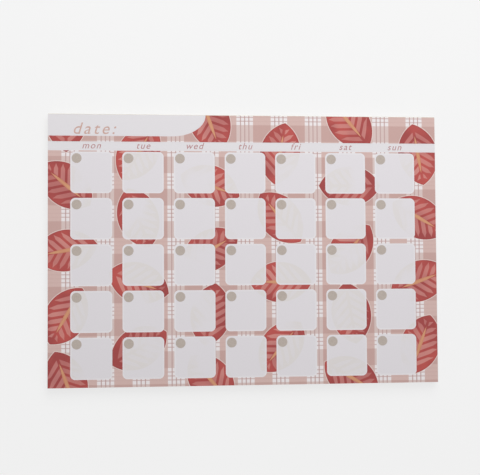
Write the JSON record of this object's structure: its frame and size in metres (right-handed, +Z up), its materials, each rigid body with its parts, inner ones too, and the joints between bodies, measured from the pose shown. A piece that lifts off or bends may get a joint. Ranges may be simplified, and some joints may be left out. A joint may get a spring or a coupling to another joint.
{
  "type": "monthly planner pad",
  "caption": "Landscape tear-off monthly planner pad: printed sheets glued along the head on grey board, with rounded day boxes, date dots and red leaves on a pink plaid.",
  "frame": {"origin": "middle of the pad on the table, under the board, at the bottom centre of the pad's box", "axes": "+X to the right along the lines of days, +Y up the page towards the glued head, +Z up out of the page"},
  "size_m": [0.297, 0.2054, 0.0077],
  "materials": {
    "paper": "uncoated white paper, cut edges",
    "greyboard": "dense grey fibre board, matt",
    "padding_compound": "dried milky flexible glue, satin",
    "ground_ink": "matt print, dusty pink",
    "band_ink": "matt print, pale pink bands of the plaid",
    "leaf_ink": "matt print, brick red",
    "rib_ink": "matt print, soft orange",
    "dot_ink": "matt print, warm grey beige"
  },
  "bodies": {
    "root": {"backing_board": "greyboard", "page_block": "paper", "padding_glue": "padding_compound", "printed_ground": "ground_ink", "printed_bands": "band_ink", "printed_leaves": "leaf_ink", "printed_leaf_ribs": "rib_ink", "date_dots": "dot_ink"}
  },
  "joints": []
}
